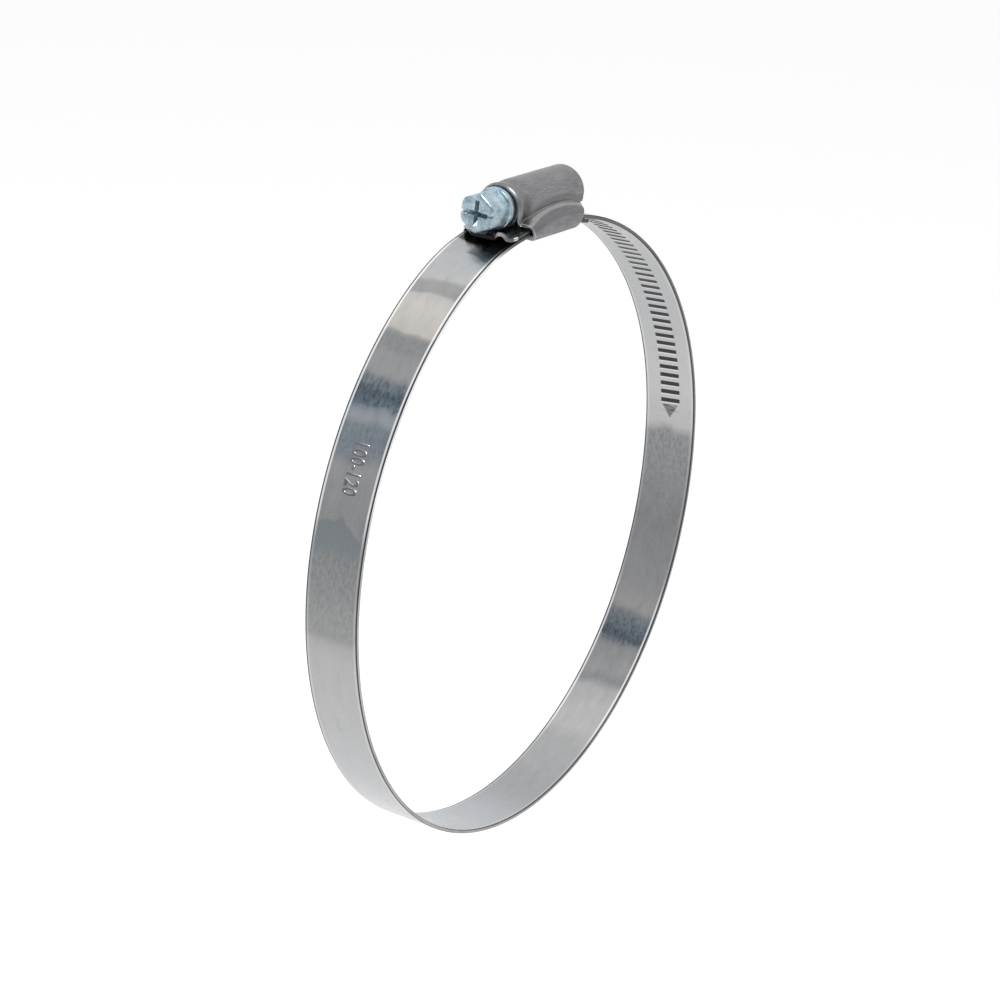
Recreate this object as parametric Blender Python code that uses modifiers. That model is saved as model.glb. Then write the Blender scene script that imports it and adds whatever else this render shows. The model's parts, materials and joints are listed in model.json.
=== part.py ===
"""Worm-drive hose clamp, 100-120 mm, 12 mm band: strap, crimped housing and worm screw.

Metres, +Z up.  The ring stands in the XZ plane with its axis along Y, the housing on top and the
screw along X with its head at -X.  The ring is built at the open end of its travel, slightly oval.
The strap is flexible, so it is cut into rigid links that hinge about Y, and the slotted end is one
rigid arc that turns about its own centre as the worm draws it through the housing.
"""
import math

import bmesh
import bpy
from mathutils import Matrix, Vector

MM = 0.001
NAME = "hose_clamp"

# strap
BAND_WIDTH = 12.0 * MM
BAND_THICKNESS = 0.7 * MM
BAND_EDGE = 0.12 * MM
LAYER_GAP = 0.15 * MM
ARC_RADIUS = 58.2 * MM
ARC_X = -0.6 * MM
ARC_Z = 66.06 * MM
ARC_START = math.radians(-14.4)
ARC_END = math.radians(86.5)
FIXED_START = math.radians(12.2)
FIXED_END = math.radians(-17.0)
OPEN_PIVOT = math.radians(214.75)
BULGE = (0.164, 0.035, -0.088, -0.434)
LINKS_PER_SIDE = 4
HINGE_GAP = 0.3 * MM
OPEN_GAP = 0.2 * MM
ARC_STEP = math.radians(1.5)

# tail behind the screw head
TAIL_LENGTH = 3.0 * MM
TAIL_LIFT = math.radians(10.0)
EAR_SIZE = (1.3 * MM, 1.8 * MM, 0.9 * MM)
EAR_Y = 4.3 * MM
TAIL_CORNER = 1.6 * MM

# pressed thread in the strap
PITCH = 2.0 * MM
GROOVE_LENGTH = 5.0 * MM
GROOVE_WIDTH = 1.0 * MM
GROOVE_DEPTH = 0.5 * MM
GROOVES_LEFT = 6
GROOVES_RIGHT = 43

# screw
SCREW_Z = 3.1 * MM
WORM_DIP = 0.35 * MM
WORM_RADIUS = SCREW_Z + WORM_DIP
WORM_CORE = 2.8 * MM
WORM_TURNS = 7
WORM_STEPS = 32
TOOTH_CREST = 0.5 * MM
TOOTH_ROOT = 0.9 * MM
HEAD_FACE = -17.5 * MM
HEAD_BASE = -12.0 * MM
HEAD_FLATS = 7.0 * MM
HEAD_TURN = math.radians(-22.2)
SLOT_WIDTH = 0.8 * MM
SLOT_DEPTH = 0.9 * MM
SLOT_TURN = math.radians(2.0)
CROSS_REACH = 2.5 * MM
CROSS_DEPTH = 2.2 * MM
CROSS_WIDTH = 0.95 * MM
CROSS_TURN = math.radians(5.0)

# housing
SHEET = 0.6 * MM
TUBE_FRONT = -10.0 * MM
TUBE_REAR = 11.0 * MM
TUBE_HALF_WIDTH = 4.65 * MM
TUBE_HALF_HEIGHT = 4.3 * MM
WALL = 0.8 * MM
NECK_HOLE = 3.0 * MM
TIP_HOLE = 2.1 * MM

STRAP_TOP = ARC_Z + ARC_RADIUS + BAND_THICKNESS / 2
THREAD_RADIUS = ARC_RADIUS + BAND_THICKNESS / 2 - WORM_DIP / 2
GROOVE_ANGLE = PITCH / THREAD_RADIUS


def clear_scene():
    """Remove every object and every collection of the file."""
    for item in list(bpy.data.objects):
        bpy.data.objects.remove(item, do_unlink=True)
    for item in list(bpy.data.collections):
        bpy.data.collections.remove(item)


def metal(name, colour, roughness):
    """A Principled metal."""
    material = bpy.data.materials.new(name)
    material.use_nodes = True
    shader = material.node_tree.nodes["Principled BSDF"]
    shader.inputs["Base Color"].default_value = (*colour, 1.0)
    shader.inputs["Roughness"].default_value = roughness
    shader.inputs["Metallic"].default_value = 1.0
    return material


def as_mesh(item, name, origin=Vector((0, 0, 0))):
    """The item with its modifiers applied, as a mesh object whose origin is at origin."""
    graph = bpy.context.evaluated_depsgraph_get()
    graph.update()
    mesh = bpy.data.meshes.new_from_object(item.evaluated_get(graph))
    mesh.transform(item.matrix_world)
    mesh.transform(Matrix.Translation(-origin))
    bpy.data.objects.remove(item, do_unlink=True)
    clean = bmesh.new()
    clean.from_mesh(mesh)
    bmesh.ops.remove_doubles(clean, verts=clean.verts, dist=1e-6)
    edges = [edge for edge in clean.edges if edge.is_boundary]
    if edges:
        bmesh.ops.holes_fill(clean, edges=edges, sides=0)
    bmesh.ops.recalc_face_normals(clean, faces=clean.faces)
    clean.to_mesh(mesh)
    clean.free()
    result = bpy.data.objects.new(name, mesh)
    result.location = origin
    scratch.objects.link(result)
    return result


def poly_curve(name, points, cyclic=False):
    """A straight-sided curve in the XZ plane, drawn with points (x, z)."""
    data = bpy.data.curves.new(name, "CURVE")
    data.dimensions = "2D"
    line = data.splines.new("POLY")
    line.points.add(len(points) - 1)
    for knot, (x, z) in zip(line.points, points):
        knot.co = (x, z, 0, 1)
    line.use_cyclic_u = cyclic
    item = bpy.data.objects.new(name, data)
    item.rotation_euler = (math.radians(90), 0, 0)
    scratch.objects.link(item)
    return item


def ribbon(name, points, origin):
    """A closed band of the strap's section along points (x, z)."""
    item = poly_curve(name, points)
    item.data.fill_mode = "NONE"
    item.data.extrude = BAND_WIDTH / 2
    bpy.context.view_layer.update()
    band = as_mesh_open(item, name)
    shell = band.modifiers.new("thickness", "SOLIDIFY")
    shell.thickness = BAND_THICKNESS
    shell.offset = 0
    shell.use_even_offset = True
    edge = band.modifiers.new("edge", "BEVEL")
    edge.width = BAND_EDGE
    edge.segments = 2
    edge.limit_method = "ANGLE"
    edge.angle_limit = math.radians(40)
    bpy.context.view_layer.update()
    return as_mesh(band, name, origin)


def as_mesh_open(item, name):
    """A curve's open surface as a mesh object, with no hole filled."""
    graph = bpy.context.evaluated_depsgraph_get()
    mesh = bpy.data.meshes.new_from_object(item.evaluated_get(graph))
    mesh.transform(item.matrix_world)
    bpy.data.objects.remove(item, do_unlink=True)
    clean = bmesh.new()
    clean.from_mesh(mesh)
    bmesh.ops.remove_doubles(clean, verts=clean.verts, dist=1e-6)
    clean.to_mesh(mesh)
    clean.free()
    result = bpy.data.objects.new(name, mesh)
    scratch.objects.link(result)
    return result


def prism(name, points, depth):
    """A solid with outline points (x, z), depth deep along Y and centred on it."""
    item = poly_curve(name, points, cyclic=True)
    item.data.fill_mode = "BOTH"
    item.data.extrude = depth / 2
    bpy.context.view_layer.update()
    return as_mesh(item, name)


def rod(name, radius, start, end, sides=48):
    """A cylinder along X on the screw's axis."""
    bpy.ops.mesh.primitive_cylinder_add(
        vertices=sides,
        radius=radius,
        depth=end - start,
        location=((start + end) / 2, 0, STRAP_TOP + SCREW_Z),
        rotation=(0, math.radians(90), 0),
    )
    item = bpy.context.object
    item.name = name
    take(item)
    return item


def block(name, size, location, rotation=(0, 0, 0)):
    """A box."""
    bpy.ops.mesh.primitive_cube_add(size=1, location=location, rotation=rotation)
    item = bpy.context.object
    item.name = name
    item.scale = size
    take(item)
    return item


def spun(item, angle):
    """The item turned about the screw's axis."""
    axis = Matrix.Translation((0, 0, STRAP_TOP + SCREW_Z))
    item.matrix_world = axis @ Matrix.Rotation(angle, 4, "X") @ axis.inverted() @ item.matrix_world
    bpy.context.view_layer.update()
    return item


def take(item):
    """Move a new object into the scratch collection and update the scene."""
    for home in list(item.users_collection):
        home.objects.unlink(item)
    scratch.objects.link(item)
    bpy.context.view_layer.update()


def turned(name, profile, steps=48):
    """A body turned about the screw's axis from profile (x, radius), closed on the axis."""
    mesh = bpy.data.meshes.new(name)
    rows = [Vector((x, 0, -r)) for x, r in profile]
    mesh.from_pydata(rows, [(i, i + 1) for i in range(len(rows) - 1)], [])
    item = bpy.data.objects.new(name, mesh)
    item.location = (0, 0, STRAP_TOP + SCREW_Z)
    scratch.objects.link(item)
    spin = item.modifiers.new("turn", "SCREW")
    spin.axis = "X"
    spin.steps = steps
    spin.render_steps = steps
    spin.use_merge_vertices = True
    spin.merge_threshold = 1e-5
    bpy.context.view_layer.update()
    return as_mesh(item, name)


def combine(base, tools, operation):
    """Boolean each tool into base and remove the tools."""
    for tool in tools:
        cut = base.modifiers.new("boolean", "BOOLEAN")
        cut.operation = operation
        cut.solver = "EXACT"
        cut.object = tool
        bpy.context.view_layer.update()
        origin = base.location.copy()
        base = as_mesh(base, base.name, origin)
        bpy.data.objects.remove(tool, do_unlink=True)
        bpy.context.view_layer.update()
    return base


def merged(name, pieces):
    """Several separate solids as one mesh object, for one Boolean."""
    work = bmesh.new()
    for piece in pieces:
        mesh = piece.data.copy()
        mesh.transform(piece.matrix_world)
        work.from_mesh(mesh)
        bpy.data.objects.remove(piece, do_unlink=True)
    mesh = bpy.data.meshes.new(name)
    work.to_mesh(mesh)
    work.free()
    item = bpy.data.objects.new(name, mesh)
    scratch.objects.link(item)
    bpy.context.view_layer.update()
    return item


def finish(item, name, material):
    """Name a finished node, give it its material and smooth its curved faces."""
    item.name = name
    item.data.name = name
    item.data.materials.clear()
    item.data.materials.append(material)
    item.data.shade_smooth()
    item.data.set_sharp_from_angle(angle=math.radians(35))
    scratch.objects.unlink(item)
    parts.objects.link(item)
    return item


def outward(angle):
    """The strap's outward normal (x, z) at an angle clockwise from the top."""
    return math.sin(angle), math.cos(angle)


def arc_point(angle, radius):
    """A point on a circle about the slotted arc's centre."""
    x, z = outward(angle)
    return ARC_X + radius * x, ARC_Z + radius * z


def loop_point(angle):
    """A point (x, z) of the flexible part's mid line, from its support function."""
    span = 2 * math.pi + FIXED_END - ARC_END
    u = (angle - ARC_END) / span
    x, z = outward(angle)
    layer = BAND_THICKNESS + LAYER_GAP
    fall = u**3 * (10 - 15 * u + 6 * u * u)
    fall_rate = 30 * (u * (1 - u)) ** 2 / span
    window = (u * (1 - u)) ** 2
    window_rate = 2 * u * (1 - u) * (1 - 2 * u) / span
    bulge = sum(c * u**k for k, c in enumerate(BULGE))
    bulge_rate = sum(k * c * u ** (k - 1) for k, c in enumerate(BULGE) if k) / span
    reach = ARC_RADIUS + ARC_X * x + ARC_Z * z - layer * fall + window * bulge
    shift = ARC_X * z - ARC_Z * x - layer * fall_rate + window_rate * bulge + window * bulge_rate
    return reach * x + shift * z, reach * z - shift * x


def spread(start, end):
    """Angles from start to end in even steps."""
    count = max(2, round(abs(end - start) / ARC_STEP))
    return [start + (end - start) * i / count for i in range(count + 1)]


def build_fixed_end():
    """The strap's fixed end, under the housing."""
    trim = HINGE_GAP / 2 / ARC_RADIUS
    radius = ARC_RADIUS - BAND_THICKNESS - LAYER_GAP
    points = [arc_point(a, radius) for a in spread(FIXED_START, FIXED_END + trim)]
    return ribbon("strap_fixed_end", points, Vector((0, 0, 0)))


def build_links():
    """The flexible part of the strap: links down the left side, then down the right side."""
    made = []
    for start, side in ((2 * math.pi + FIXED_END, 0), (ARC_END, 1)):
        step = (OPEN_PIVOT - start) / LINKS_PER_SIDE
        sign = math.copysign(1, step)
        for i in range(LINKS_PER_SIDE):
            last = OPEN_GAP if i == LINKS_PER_SIDE - 1 else HINGE_GAP / 2
            low = start + i * step + sign * HINGE_GAP / 2 / ARC_RADIUS
            high = start + (i + 1) * step - sign * last / ARC_RADIUS
            x, z = loop_point(start + i * step)
            name = "strap_link_%02d" % (1 + i + side * LINKS_PER_SIDE)
            points = [loop_point(a) for a in spread(low, high)]
            made.append(ribbon(name, points, Vector((x, 0, z))))
    return made


def build_slotted_end():
    """The strap's slotted end: one arc with the pressed thread, its tail lifted behind the head."""
    centre = Vector((ARC_X, 0, ARC_Z))
    trim = HINGE_GAP / 2 / ARC_RADIUS
    points = [arc_point(a, ARC_RADIUS) for a in spread(ARC_END - trim, ARC_START + TAIL_LENGTH / ARC_RADIUS)]
    last_x, last_z = points[-1]
    slope = ARC_START + TAIL_LENGTH / ARC_RADIUS + TAIL_LIFT
    points.append((last_x - TAIL_LENGTH * math.cos(slope), last_z + TAIL_LENGTH * math.sin(slope)))
    strap = ribbon("strap_slotted_end", points, centre)
    lead = math.atan2(PITCH, 2 * math.pi * (WORM_RADIUS - WORM_DIP / 2))
    cutters = []
    for k in range(-GROOVES_LEFT, GROOVES_RIGHT + 1):
        angle = k * GROOVE_ANGLE
        radius = ARC_RADIUS + BAND_THICKNESS / 2 - GROOVE_DEPTH + 0.5 * MM
        x, z = arc_point(angle, radius)
        turn = Matrix.Rotation(angle, 4, "Y") @ Matrix.Rotation(-lead, 4, "Z")
        size = (GROOVE_WIDTH, GROOVE_LENGTH, 1.0 * MM)
        cutters.append(block("groove", size, (x, 0, z), turn.to_euler()))
    strap = combine(strap, [merged("grooves", cutters)], "DIFFERENCE")
    ears = []
    for side in (-1, 1):
        x = last_x - (TAIL_LENGTH - EAR_SIZE[0] / 2 - 0.2 * MM) * math.cos(slope)
        z = last_z + (TAIL_LENGTH - EAR_SIZE[0] / 2 - 0.2 * MM) * math.sin(slope) + BAND_THICKNESS / 2
        ear = block("ear", EAR_SIZE, (x, side * EAR_Y, z), (0, slope, 0))
        ears.append(rounded(ear, 0.35 * MM, 2))
    strap = combine(strap, ears, "UNION")
    tip = last_x - TAIL_LENGTH * math.cos(slope)
    reach = 4 * MM
    out = reach / 2 / math.sqrt(2) - TAIL_CORNER / 2
    corners = []
    for side in (-1, 1):
        place = (tip - out, side * (BAND_WIDTH / 2 + out), last_z)
        corners.append(block("corner", (reach, reach, reach), place, (0, 0, math.radians(45))))
    return combine(strap, corners, "DIFFERENCE")


def rounded(item, width, segments):
    """The item with its edges bevelled."""
    edge = item.modifiers.new("edge", "BEVEL")
    edge.width = width
    edge.segments = segments
    bpy.context.view_layer.update()
    return as_mesh(item, item.name)


def arc_corner(before, corner, after, radius, steps=5):
    """Points of the fillet of a corner between two straight lines."""
    a = (Vector(before) - Vector(corner)).normalized()
    b = (Vector(after) - Vector(corner)).normalized()
    half = a.angle(b) / 2
    start = Vector(corner) + a * radius / math.tan(half)
    end = Vector(corner) + b * radius / math.tan(half)
    centre = Vector(corner) + (a + b).normalized() * radius / math.sin(half)
    out = []
    for i in range(steps + 1):
        spoke = (start - centre).slerp(end - centre, i / steps)
        out.append(tuple(centre + spoke.normalized() * radius))
    return out


def sheet_profile():
    """Half of the housing's mid section (y, z) above the strap, from the crown to a leg's tip."""
    crown = []
    for i in range(13):
        angle = math.radians(90 - 90 * i / 12)
        crown.append((TUBE_HALF_WIDTH * math.cos(angle), SCREW_Z + TUBE_HALF_HEIGHT * math.sin(angle)))
    side = (TUBE_HALF_WIDTH, SCREW_Z)
    waist = (TUBE_HALF_WIDTH, 1.9 * MM)
    shoulder = (6.7 * MM, 0.35 * MM)
    foot = (6.7 * MM, -2.8 * MM)
    toe = (3.0 * MM, -2.8 * MM)
    half = crown
    half += arc_corner(side, waist, shoulder, 1.0 * MM)
    half += arc_corner(waist, shoulder, foot, 0.9 * MM)
    half += arc_corner(shoulder, foot, toe, 1.45 * MM)
    half.append(toe)
    return half


def build_housing():
    """The housing: one bent sheet round the screw and the strap, with a wall at each end."""
    half = sheet_profile()
    points = [(-y, z + STRAP_TOP) for y, z in reversed(half)] + [(y, z + STRAP_TOP) for y, z in half[1:]]
    item = poly_curve("sheet", points)
    item.data.fill_mode = "NONE"
    item.data.extrude = (TUBE_REAR - TUBE_FRONT) / 2
    item.rotation_euler = (math.radians(90), 0, math.radians(90))
    item.location = ((TUBE_REAR + TUBE_FRONT) / 2, 0, 0)
    bpy.context.view_layer.update()
    sheet = as_mesh_open(item, "sheet")
    shell = sheet.modifiers.new("thickness", "SOLIDIFY")
    shell.thickness = SHEET
    shell.offset = 0
    shell.use_even_offset = True
    bpy.context.view_layer.update()
    sheet = as_mesh(sheet, "sheet")
    front = [(-12, 0.9), (-8.9, 0.9), (-8.3, 0.5), (-8.1, -0.4), (-7.9, -1.4)]
    front += [(-7.2, -2.3), (-6.2, -2.7), (-5.8, -4), (-12, -4)]
    rear = [(12, 1.6), (8.7, 1.6), (8.1, 1.1), (7.9, 0.2), (7.4, -0.9)]
    rear += [(6.6, -1.8), (5.4, -2.6), (5.0, -4), (12, -4)]
    cutters = []
    for outline in (front, rear):
        corners = [(x * MM, z * MM + STRAP_TOP) for x, z in outline]
        cutters.append(prism("end_cut", corners, 20 * MM))
    sheet = combine(sheet, cutters, "DIFFERENCE")
    walls = []
    front_wall = (TUBE_FRONT + 0.1 * MM, NECK_HOLE, -0.25 * MM)
    rear_wall = (TUBE_REAR - 0.1 * MM - WALL, TIP_HOLE, -0.5 * MM)
    for start, hole, floor in (front_wall, rear_wall):
        wall = rod("wall", 1.0, start, start + WALL)
        inset = SHEET / 2 - 0.15 * MM
        wall.scale = (TUBE_HALF_HEIGHT - inset, TUBE_HALF_WIDTH - inset, 1)
        bpy.context.view_layer.update()
        wall = as_mesh(wall, "wall")
        under = block("under", (4 * MM, 14 * MM, 4 * MM), (start, 0, STRAP_TOP + floor - 2 * MM))
        bore = rod("hole", hole, start - MM, start + WALL + MM)
        walls.append(combine(wall, [bore, under], "DIFFERENCE"))
    return combine(sheet, walls, "UNION")


def build_worm():
    """One helical tooth, right-handed, in mesh with the grooves at rest."""
    mesh = bpy.data.meshes.new("tooth")
    sunk = WORM_CORE - 0.2 * MM
    start = ARC_X - PITCH * (WORM_TURNS // 2) - PITCH / 2
    corners = [
        (start - TOOTH_ROOT / 2, sunk),
        (start - TOOTH_CREST / 2, WORM_RADIUS),
        (start + TOOTH_CREST / 2, WORM_RADIUS),
        (start + TOOTH_ROOT / 2, sunk),
    ]
    rows = [Vector((x, 0, r)) for x, r in corners]
    mesh.from_pydata(rows, [(0, 1), (1, 2), (2, 3), (3, 0)], [])
    item = bpy.data.objects.new("tooth", mesh)
    item.location = (0, 0, STRAP_TOP + SCREW_Z)
    scratch.objects.link(item)
    spin = item.modifiers.new("helix", "SCREW")
    spin.axis = "X"
    spin.angle = math.radians(360)
    spin.screw_offset = PITCH
    spin.iterations = WORM_TURNS
    spin.steps = WORM_STEPS
    spin.render_steps = WORM_STEPS
    bpy.context.view_layer.update()
    return as_mesh(item, "tooth")


def build_screw():
    """The screw: hexagon head with slot and cross, collar, neck, worm and tip journal."""
    body = turned("screw", [
        (HEAD_BASE - 0.6 * MM, 0.0),
        (HEAD_BASE - 0.6 * MM, 2.6 * MM),
        (HEAD_BASE, 3.3 * MM),
        (HEAD_BASE, 3.8 * MM),
        (HEAD_BASE + 0.2 * MM, 4.0 * MM),
        (-11.0 * MM, 3.86 * MM),
        (-10.5 * MM, 3.7 * MM),
        (-10.4 * MM, 3.4 * MM),
        (-10.3 * MM, 2.6 * MM),
        (-8.7 * MM, 2.6 * MM),
        (-8.5 * MM, WORM_CORE),
        (9.4 * MM, WORM_CORE),
        (9.7 * MM, 1.8 * MM),
        (10.7 * MM, 1.8 * MM),
        (10.95 * MM, 1.5 * MM),
        (10.95 * MM, 0.0),
    ])
    corner_radius = HEAD_FLATS / 2 / math.cos(math.radians(30))
    head = spun(rod("head", corner_radius, HEAD_FACE, HEAD_BASE + 0.1 * MM, 6), HEAD_TURN)
    dome = turned("dome", [
        (HEAD_FACE - 0.1 * MM, 0.0),
        (HEAD_FACE - 0.1 * MM, 3.0 * MM),
        (HEAD_FACE + 0.2 * MM, 3.45 * MM),
        (HEAD_FACE + 0.9 * MM, 4.1 * MM),
        (HEAD_BASE + 0.3 * MM, 4.1 * MM),
        (HEAD_BASE + 0.3 * MM, 0.0),
    ])
    head = combine(head, [dome], "INTERSECT")
    body = combine(body, [head], "UNION")
    axis = STRAP_TOP + SCREW_Z
    deep = CROSS_DEPTH * 2
    slot = spun(block("slot", (SLOT_DEPTH * 2, 9 * MM, SLOT_WIDTH), (HEAD_FACE, 0, axis)), SLOT_TURN)
    cross = [block("cross", (deep, CROSS_REACH * 2, CROSS_WIDTH), (HEAD_FACE, 0, axis))]
    cross.append(block("cross", (deep, CROSS_WIDTH, CROSS_REACH * 2), (HEAD_FACE, 0, axis)))
    cross = [spun(arm, CROSS_TURN) for arm in cross]
    body = combine(body, [slot] + cross, "DIFFERENCE")
    body = combine(body, [build_worm()], "UNION")
    mesh = body.data
    mesh.transform(Matrix.Translation((0, 0, -axis)))
    body.location = (0, 0, axis)
    return body


clear_scene()
parts = bpy.data.collections.new(NAME)
scratch = bpy.data.collections.new("scratch")
bpy.context.scene.collection.children.link(parts)
bpy.context.scene.collection.children.link(scratch)
band_steel = metal("stainless_band", (0.62, 0.63, 0.65), 0.22)
sheet_steel = metal("stainless_sheet", (0.45, 0.45, 0.47), 0.38)
zinc_steel = metal("zinc_plated_steel", (0.52, 0.58, 0.62), 0.34)

finish(build_housing(), "housing", sheet_steel)
finish(build_screw(), "screw", zinc_steel)
finish(build_fixed_end(), "strap_fixed_end", band_steel)
for link in build_links():
    finish(link, link.name, band_steel)
finish(build_slotted_end(), "strap_slotted_end", band_steel)
bpy.context.view_layer.update()
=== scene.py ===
import json
import math
from contextlib import contextmanager
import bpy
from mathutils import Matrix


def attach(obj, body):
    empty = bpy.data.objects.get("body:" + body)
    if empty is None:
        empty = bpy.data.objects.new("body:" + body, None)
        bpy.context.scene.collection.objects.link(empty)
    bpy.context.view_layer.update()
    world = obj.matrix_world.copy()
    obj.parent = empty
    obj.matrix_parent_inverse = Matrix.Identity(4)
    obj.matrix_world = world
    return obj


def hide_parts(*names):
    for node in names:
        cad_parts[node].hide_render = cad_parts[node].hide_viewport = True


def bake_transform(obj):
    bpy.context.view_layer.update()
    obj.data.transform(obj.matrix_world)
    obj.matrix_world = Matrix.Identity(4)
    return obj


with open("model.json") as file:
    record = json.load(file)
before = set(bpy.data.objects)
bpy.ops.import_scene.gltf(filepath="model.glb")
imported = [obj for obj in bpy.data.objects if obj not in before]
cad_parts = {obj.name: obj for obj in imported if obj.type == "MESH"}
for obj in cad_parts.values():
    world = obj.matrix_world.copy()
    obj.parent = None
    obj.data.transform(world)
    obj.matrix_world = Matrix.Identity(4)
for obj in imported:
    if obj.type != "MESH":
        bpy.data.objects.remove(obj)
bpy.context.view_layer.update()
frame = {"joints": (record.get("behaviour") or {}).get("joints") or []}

from types import SimpleNamespace

import bmesh
import bpy
from mathutils import Matrix, Vector

MM = 0.001
joints = {joint["name"]: joint for joint in frame["joints"]}

# The strap's section, the gap between its two layers, and the screw's axis above it.
WIDTH = 12.0 * MM
THICK = 0.7 * MM
CORNER = 0.14 * MM
LAYER_GAP = 0.15 * MM
SCREW_UP = 3.1 * MM

# The slotted end is an arc of radius ARC_R, to its mid line, about the axis of strap_draw.
# TOP is its outer face at the top of the ring.
ARC_X, _, ARC_Z = joints["strap_draw"]["pos_m"]
AXIS_Z = joints["screw_turn"]["pos_m"][2]
TOP = AXIS_Z - SCREW_UP
ARC_R = TOP - THICK / 2 - ARC_Z

# Angles round the ring start at its top and grow towards +X, the screw's tip.  The strap runs from its
# tail, at ARC_START, to the slotted end's hinge, at ARC_END.  Past the open pivot it comes back to the top:
# its fixed end has a hinge at FIXED_END and is cut at FIXED_START, both counted from a whole turn.
WHOLE = 2 * math.pi
ARC_START = math.radians(-14.4)
ARC_END = math.radians(86.5)
SLOT_JOIN = math.radians(86.4)
FIXED_START = math.radians(12.2)
FIXED_END = math.radians(-17.0)
OPEN_PIVOT = math.radians(214.75)

# Each side has four links.  BULGE makes their ring slightly oval: the terms of a polynomial along it.
LINKS = 4
BULGE = (0.164, 0.035, -0.088, -0.434)

# How far past the slotted end's first hinge a reach is taken, and the link at which the numbers are made.
SLOTTED_REACH = math.radians(10)
NUMBERED_LINK = "strap_link_03"

# The tail at the slotted end, bent up a little, with two raised ears and rounded corners.
TAIL_END = ARC_START * ARC_R
TAIL_BEND = TAIL_END + 3.0 * MM
TAIL_BEND_LONG = 0.8 * MM
TAIL_LIFT = math.radians(10.0)
NEAR_CORNER = 1.8 * MM
FAR_CORNER = 3.1 * MM
EAR_HIGH = 1.15 * MM
EAR_LONG = 2.4 * MM

# The pressed thread: grooves at the screw's pitch, GROOVE radians apart, that lean by its lead.
# A groove reaches GROOVE_HALF to each side of the middle, and its floor GROOVE_FLOOR millimetres along.
PITCH = 2.0 * MM
WORM_DIP = 0.35 * MM
GROOVE = PITCH / (ARC_R + THICK / 2 - WORM_DIP / 2)
GROOVE_HALF = 2.4 * MM
GROOVE_FLOOR = 0.36
LEAD = 0.094
LEAN_HALF = 2.7 * MM
FIRST_GROOVE = -6
LAST_GROOVE = 43

# The crease along the housing's side, in millimetres: its highest point and how it bows down from there.
CREASE_UP = 2.5
CREASE_X = 1.9
CREASE_BOW = 0.0175

# The screw's head, and the turns of its hexagon, slot and cross about the screw.
FACE = -17.5 * MM
HEAD_LONG = 5.45 * MM
HEAD_R = 4.04 * MM
HEAD_TURN = math.radians(-22.2)
SLOT_TURN = math.radians(2)
CROSS_TURN = math.radians(5)


# ---------------------------------------------------------------- shader values
class Value:
    """A number that a material's nodes work out, for use with Python's own operators."""

    def __init__(self, tree, socket):
        self.tree = tree
        self.socket = socket

    def maths(self, operation, *inputs):
        """The result of a maths node on values or plain numbers."""
        made = self.tree.nodes.new("ShaderNodeMath")
        made.operation = operation
        for place, item in zip(made.inputs, inputs):
            if isinstance(item, Value):
                self.tree.links.new(item.socket, place)
            else:
                place.default_value = item
        return Value(self.tree, made.outputs[0])

    def __add__(self, other):
        return self.maths("ADD", self, other)

    def __sub__(self, other):
        return self.maths("SUBTRACT", self, other)

    def __rsub__(self, other):
        return self.maths("SUBTRACT", other, self)

    def __mul__(self, other):
        return self.maths("MULTIPLY", self, other)

    def __truediv__(self, other):
        return self.maths("DIVIDE", self, other)

    def __abs__(self):
        return self.maths("ABSOLUTE", self)

    def rounded(self):
        """The nearest whole number."""
        return self.maths("ROUND", self)

    def root(self):
        """The square root."""
        return self.maths("SQRT", self)

    def below(self, limit):
        """1 where the value is below limit, else 0."""
        return self.maths("LESS_THAN", self, limit)

    def at_least(self, least):
        """The larger of the value and least."""
        return self.maths("MAXIMUM", self, least)

    def step(self, low, high):
        """A smooth 0 to 1 from low to high, or 1 to 0 where high is the smaller."""
        made = self.tree.nodes.new("ShaderNodeMapRange")
        made.interpolation_type = "SMOOTHSTEP"
        made.inputs["From Min"].default_value = low
        made.inputs["From Max"].default_value = high
        self.tree.links.new(self.socket, made.inputs["Value"])
        return Value(self.tree, made.outputs["Result"])

    def band(self, low, high, soft):
        """1 between low and high, falling to 0 over soft on either side."""
        return self.step(low - soft, low) - self.step(high, high + soft)


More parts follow.
